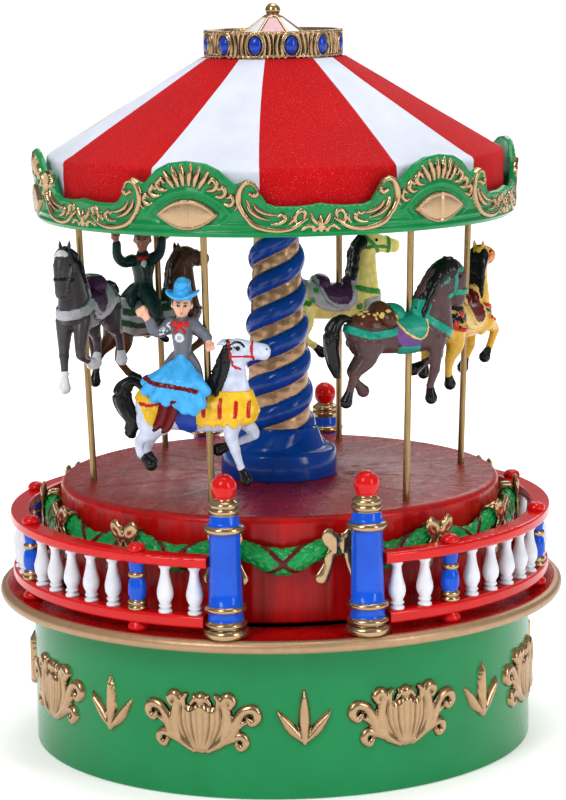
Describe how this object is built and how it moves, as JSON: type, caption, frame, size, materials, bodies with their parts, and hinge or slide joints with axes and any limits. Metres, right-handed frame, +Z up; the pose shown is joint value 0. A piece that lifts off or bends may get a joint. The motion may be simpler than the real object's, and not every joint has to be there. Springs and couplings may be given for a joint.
{
  "type": "carousel music box",
  "caption": "Key-wound music box shaped as a small carousel: horses on leaning poles turn under a striped canopy above a drum base.",
  "frame": {"origin": "centre of the base drum's foot ring, on the surface the box stands on", "axes": "+Z up along the carousel's axis; the front gate faces -Y; +X to the right seen from the front"},
  "size_m": [0.116, 0.116, 0.1495],
  "materials": {
    "base_green": "gloss painted resin",
    "antique_gold": "antique gold paint",
    "rim_bronze": "bronze paint, satin",
    "cover_black": "matt moulded",
    "steel": "brushed",
    "spring_steel": "blued",
    "movement_brass": "plated",
    "rail_red": "gloss paint",
    "baluster_white": "gloss paint",
    "post_blue": "gloss paint",
    "deck_red": "gloss paint over wood grain",
    "garland_green": "gloss paint",
    "pillar_blue": "gloss paint",
    "pole_brass": "aged, satin",
    "horse_white_paint": "hand painted resin",
    "horse_dark_brown_paint": "hand painted resin",
    "horse_yellow_paint": "hand painted resin",
    "horse_cream_paint": "hand painted resin",
    "horse_chestnut_paint": "hand painted resin",
    "horse_black_paint": "hand painted resin",
    "lady_paint": "hand painted resin",
    "gentleman_paint": "hand painted resin",
    "board_green": "gloss paint",
    "roof_cloth": "flocked cloth, red and white stripes",
    "cabochon_blue": "gloss",
    "tent_pink": "satin paint"
  },
  "bodies": {
    "stand": {"base_shell": "base_green", "base_ornaments": "antique_gold", "rim_plate": "rim_bronze", "bottom_cover": "cover_black", "bottom_cover_screws": "steel", "fence_bottom_rail_left": "rail_red", "fence_bottom_rail_right": "rail_red", "fence_top_rail_left": "rail_red", "fence_top_rail_right": "rail_red", "fence_balusters_left": "baluster_white", "fence_balusters_right": "baluster_white", "fence_posts_left": "post_blue", "fence_posts_right": "post_blue", "newel_front_left": "post_blue", "newel_front_right": "post_blue", "newel_back_left": "post_blue", "newel_back_right": "post_blue", "bedplate": "movement_brass", "movement_screws": "steel", "spring_housing": "steel", "mainspring": "spring_steel", "comb": "spring_steel", "comb_screws": "steel", "governor_frame": "movement_brass"},
    "carousel": {"drive_hub": "steel", "centre_shaft": "steel", "drum_deck": "deck_red", "garland": "garland_green", "garland_bows": "antique_gold", "pillar": "pillar_blue", "pillar_base": "pillar_blue", "pole_front_left": "pole_brass", "pole_front_right": "pole_brass", "pole_right": "pole_brass", "pole_back_right": "pole_brass", "pole_back_left": "pole_brass", "pole_left": "pole_brass", "horse_white": "horse_white_paint", "horse_dark_brown": "horse_dark_brown_paint", "horse_yellow": "horse_yellow_paint", "horse_cream": "horse_cream_paint", "horse_chestnut": "horse_chestnut_paint", "horse_black": "horse_black_paint", "lady_rider": "lady_paint", "gentleman_rider": "gentleman_paint", "canopy_ceiling": "board_green", "rounding_board": "board_green", "roof": "roof_cloth", "crown": "antique_gold", "crown_cabochons": "cabochon_blue", "top_tent": "tent_pink", "finial": "antique_gold"},
    "winding_arbor": {"winding_key": "movement_brass", "mainspring_arbor": "steel", "main_wheel": "movement_brass"},
    "cylinder": {"music_cylinder": "movement_brass", "cylinder_pinion": "steel", "cylinder_wheel": "movement_brass"},
    "governor": {"governor_wheel": "movement_brass"},
    "fan": {"governor_worm_fan": "steel"}
  },
  "joints": [
    {"name": "carousel_spin", "type": "hinge", "parent": "stand", "child": "carousel", "pos_m": [0, 0, 0.0325], "axis": [0, 0, 1], "continuous": true},
    {"name": "key_turn", "type": "hinge", "parent": "stand", "child": "winding_arbor", "pos_m": [0, 0, 0.0105], "axis": [0, 0, 1], "continuous": true},
    {"name": "cylinder_spin", "type": "hinge", "parent": "stand", "child": "cylinder", "pos_m": [0.028, 0, 0.0204], "axis": [1, 0, 0], "continuous": true},
    {"name": "governor_spin", "type": "hinge", "parent": "stand", "child": "governor", "pos_m": [0.039, 0.008, 0.0204], "axis": [1, 0, 0], "continuous": true},
    {"name": "fan_spin", "type": "hinge", "parent": "stand", "child": "fan", "pos_m": [0.0406, 0.0131, 0.0204], "axis": [0, 0, 1], "continuous": true}
  ],
  "couplings": [
    {"joint": "key_turn", "follows": "carousel_spin", "ratio": 1},
    {"joint": "cylinder_spin", "follows": "carousel_spin", "ratio": -4},
    {"joint": "governor_spin", "follows": "carousel_spin", "ratio": 12},
    {"joint": "fan_spin", "follows": "carousel_spin", "ratio": -108}
  ]
}
